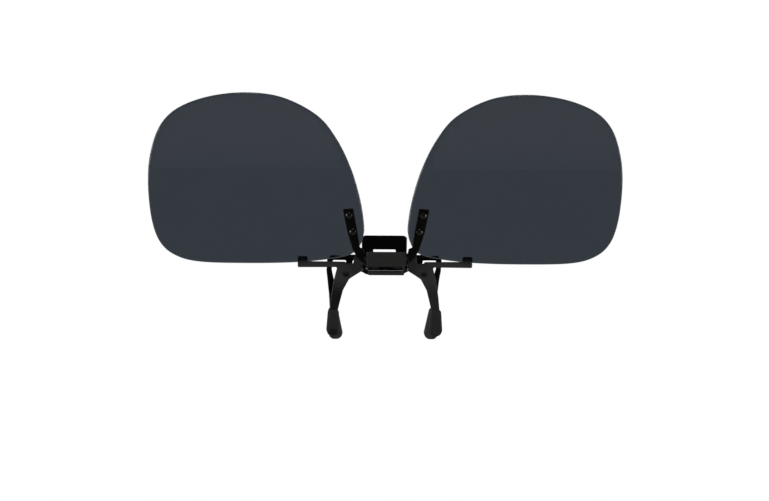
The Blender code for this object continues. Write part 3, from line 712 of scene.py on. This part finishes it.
bright = Finish("bright_steel")
brushing = bright.noise(0.12 * MM, 3.0, stretch=(1.0, 1.0, 8.0))
tarnish = bright.between(bright.noise(0.8 * MM, 3.0), 0.45, 0.8)
bright.surface({
    "Base Color": bright.mix(tarnish, (0.60, 0.59, 0.57), (0.33, 0.31, 0.28)),
    "Metallic": 1.0,
    "Roughness": 0.16 + 0.12 * brushing + 0.2 * tarnish,
    "Normal": bright.bump(brushing, 0.008 * MM, 0.5),
})

for name, side in SIDES:
    foot = (side * FOOT["x"], 0.0, -2.65 - FIT)
    profile = [(0.0, -0.35), (0.45, -0.33), (0.8, -0.2), (0.95, -0.03), (0.93, 0.0), (0.5, 0.0)]
    profile = np.array([*profile, (0.5, 1.7), (0.0, 1.7)])
    shell = turned(profile, foot, (0, 0, 1))
    rivet = f"tray_rivet_{name}"
    finished(rivet, shell, "front_jaw", [f"housing_rivet_{name}"], bright)


# The rear jaw. One blank of sheet steel, painted black: the thumb lever leans back behind the
# housing and has a window; the arch carries two legs, bowed back to clear a spectacle rim.
REAR_HALF = (
    (5.85, 7.3), (6.75, 6.9), (6.75, 1.66), (16.2, 1.66), (17.3, 0.4), (17.35, -3.5), (16.95, -6.5),
    (16.5, -10.5), (16.3, -14.8), (16.3, -22.3), (14.4, -22.3), (14.4, -14.8), (14.5, -10.5),
    (14.95, -6.5), (15.8, -3.0), (15.6, 0.06), (11.6, 0.06), (11.6, -0.9), (9.6, -0.9), (9.6, 0.06),
    (7.4, 0.0), (7.4, -3.1), (5.6, -4.25),
)
WINDOW = (3.4, 1.0, 3.25)
LEVER_PATH = ((9.1, 8.2), (7.0, 1.2), (7.0, -5.0))
LEG_PATH = ((7.0, 9.0), (7.0, -0.4), (10.6, -4.2), (11.2, -8.2), (9.0, -14.4), (9.0, -24.0))


def bowed(x, z):
    """The rear sheet: y from the lever's path inside 6.6 mm and from the leg's path outside 8 mm,
    with a smooth step between; the normal is square to both slopes."""
    def depth(x, z):
        y = []
        for path, bend in ((LEVER_PATH, 0.4), (LEG_PATH, 1.3)):
            line = softened(path, bend, 10)[::-1]
            y.append(np.interp(z, line[:, 1], line[:, 0]))
        outward = np.clip((np.abs(x) - 6.6) / 1.4, 0, 1)
        outward = outward**2 * (3 - 2 * outward)
        return (1 - outward) * y[0] + outward * y[1]
    step = 0.05
    slope_x = (depth(x + step, z) - depth(x - step, z)) / (2 * step)
    slope_z = (depth(x, z + step) - depth(x, z - step)) / (2 * step)
    normal = np.stack([-slope_x, np.ones_like(x), -slope_z], 1)
    return np.stack([x, depth(x, z), z], 1), normal / np.linalg.norm(normal, axis=1)[:, None]


blank = spaced(rounded_loop(both_halves(REAR_HALF), 0.3), 0.28)
window = rectangle(-WINDOW[0], WINDOW[0], *WINDOW[1:], 0.25, 0.25)
ears = [ear(7.0, side * 6.2, 0.8) for _, side in SIDES]
shell = joined(sheet([blank, window], SHEET, 0.14, bowed, 0.6), *ears)
finished("rear_plate", shell, "rear_jaw", ["rear_jaw"], black_paint)


# The rubber sleeves. Each is a moulded matte rubber boot pushed on a leg, with a flat pad that
# grips the spectacle lens and full round edges elsewhere.
SLEEVE_TOP = -14.6
FRONT_SLEEVE = (
    (13.8, SLEEVE_TOP), (17.05, SLEEVE_TOP), (17.5, -20.9), (17.1, -22.0), (16.2, -22.65),
    (14.7, -22.65), (13.85, -22.05), (13.5, -20.9),
)
REAR_SLEEVE = (
    (13.95, SLEEVE_TOP), (16.75, SLEEVE_TOP), (16.75, -22.2), (16.3, -23.4), (15.4, -24.1),
    (13.7, -24.1), (12.7, -23.4), (12.3, -22.2),
)


def rubber(name, fresh, dusty):
    """Matte rubber with a bloom of dust, a fine moulded grain, and painted shade near black."""
    skin = Finish(name)
    cloud = skin.noise(1.8 * MM, 4.0, 0.6)
    bloom = skin.between(skin.noise(0.7 * MM, 3.0), 0.4, 0.8)
    base = skin.mix(bloom, fresh, dusty)
    skin.surface({
        # Painted shade: where the attribute read here is high, the colour goes to near black.
        "Base Color": skin.mix(skin.attribute("painted_shade"), base, (0.002, 0.002, 0.001)),
        "Roughness": (0.62 + 0.2 * cloud) * (1 - 0.6 * skin.attribute("painted_shade")),
        "Specular IOR Level": 0.4,
        "Normal": skin.bump(skin.noise(0.2 * MM, 3.0), 0.03 * MM, 0.4),
    })
    return skin


front_rubber = rubber("front_rubber", (0.008, 0.0085, 0.0065), (0.013, 0.0135, 0.011))
# Painted light: the rear boots are the same rubber as the front ones, painted about three times lighter
# for light from below and behind.
rear_rubber_painted_lighter = rubber("rear_rubber_painted_lighter", (0.025, 0.0255, 0.022), (0.046, 0.0465, 0.041))
# The oval of painted shade on the left front boot: centre x and z, then its half widths.
PAINTED_SHADE_TIP = (-15.4, -21.4, 1.5, 1.15)

for jaw, corners, faces, body, skin in (
    ("front", FRONT_SLEEVE, (2.6, 5.3), "front_jaw", front_rubber),
    ("rear", REAR_SLEEVE, (7.5, 10.1), "rear_jaw", rear_rubber_painted_lighter),
):
    for name, side in SIDES:
        outline = spaced(rounded_loop(corners, 1.0), 0.25) * (side, 1)
        middle = facing_front(sum(faces) / 2)
        shell = sheet([outline], faces[1] - faces[0], 0.75, middle, 0.5, 7)
        x, y, z = shell[0].T
        # Painted shade: an oval near the lower end of the left front boot's front face goes near black.
        tip = np.hypot((x - PAINTED_SHADE_TIP[0]) / PAINTED_SHADE_TIP[2], (z - PAINTED_SHADE_TIP[1]) / PAINTED_SHADE_TIP[3])
        painted_shade = 0.97 * np.clip((1.1 - tip) / 0.3, 0, 1) * (y < faces[0] + 1) * (jaw == "front")
        node = f"{jaw}_sleeve_{name}"
        finished(f"{jaw}_boot_{name}", shell, body, [node], skin, painted_shade)


# The jaw pin, the friction washers and the springs. The pin and springs are bright steel; a nylon
# washer keeps each arm's knuckle off the housing. The springs ride no body and stay as they are built.
PIN_END = 6.75
pin_profile = softened([(0.75, PIN_END + 0.4), (1.0, PIN_END), (0.6, PIN_END), (0.6, -PIN_END),
                        (1.0, -PIN_END), (0.75, -PIN_END - 0.4)], 0.08)[::-1]
pin_profile = np.vstack([[(0.0, -PIN_END - 0.4)], pin_profile, [(0.0, PIN_END + 0.4)]])
shell = turned(pin_profile, (0.0, *PIN_AXIS), (1, 0, 0))
finished("pivot_pin", shell, "front_jaw", ["jaw_pin"], bright)

for name, side in SIDES:
    loops = [circle(FLIP_AXIS, 1.4), circle(FLIP_AXIS, 0.94, 36)]
    shell = sheet(loops, 0.27, 0.07, facing_side(side * 5.925), 0.4)
    washer = f"friction_washer_{name}"
    finished(washer, shell, "lens_flip", [f"flip_washer_{name}"], nylon)


def wire(path, radius, sides=12):
    """A round wire along a path. Each ring lies square to the path, turned from the one before only
    as far as the path turns; the ends close on a domed cap."""
    path = np.array(path, float)
    way = np.gradient(path, axis=0)
    way = way / np.linalg.norm(way, axis=1)[:, None]
    across = [np.cross(way[0], (0.0, 0.0, 1.0) if abs(way[0, 2]) < 0.9 else (1.0, 0.0, 0.0))]
    for step in way[1:]:
        across.append(across[-1] - step * (across[-1] @ step))
    across = np.array(across)
    across = across / np.linalg.norm(across, axis=1)[:, None]
    other = np.cross(way, across)
    turn = np.arange(sides) / sides * math.tau
    spoke = np.cos(turn)[None, :, None] * across[:, None] + np.sin(turn)[None, :, None] * other[:, None]
    points = (path[:, None] + radius * spoke).reshape(-1, 3)
    tips = np.array([path[0] - way[0] * radius * 0.4, path[-1] + way[-1] * radius * 0.4])
    points = np.vstack([points, tips])
    i = np.arange(sides)
    j = (i + 1) % sides
    faces = [np.stack([k + i, k + j, k + sides + j, k + sides + i], 1) for k in
             range(0, (len(path) - 1) * sides, sides)]
    end = (len(path) - 1) * sides
    faces.append(np.stack([np.full(sides, len(points) - 2), j, i], 1))
    faces.append(np.stack([np.full(sides, len(points) - 1), end + i, end + j], 1))
    return points, faces, np.zeros(len(points))


SPRING = dict(wire=0.18, coil=0.9, turns=7.5, start=0.7, pitch=0.40)
for name, side in SIDES:
    turn = np.linspace(0, SPRING["turns"], 270)
    angle = math.pi + turn * math.tau
    coil = np.stack([
        SPRING["start"] + turn * SPRING["pitch"],
        PIN_AXIS[0] + SPRING["coil"] * np.cos(angle),
        PIN_AXIS[1] + SPRING["coil"] * np.sin(angle),
    ], 1)
    front_leg = np.linspace((SPRING["start"], 4.22, 1.1), coil[0], 12, endpoint=False)
    rear_leg = np.linspace((coil[-1, 0], 6.38, 0.6), coil[-1], 12, endpoint=False)[::-1]
    path = np.vstack([front_leg, coil, rear_leg]) * (side, 1, 1)
    shell = wire(path, SPRING["wire"])
    node = f"jaw_spring_{name}"
    spring = finished(f"torsion_spring_{name}", shell, None, [node], bright)
    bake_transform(spring)


# The flip axle with its cam, and the leaf spring on it. Both are bright steel inside the housing
# and keep their solids from the clip's plan.
for node in ("flip_axle", "detent_spring"):
    for held_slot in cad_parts[node].material_slots:
        held_slot.material = bright.owner
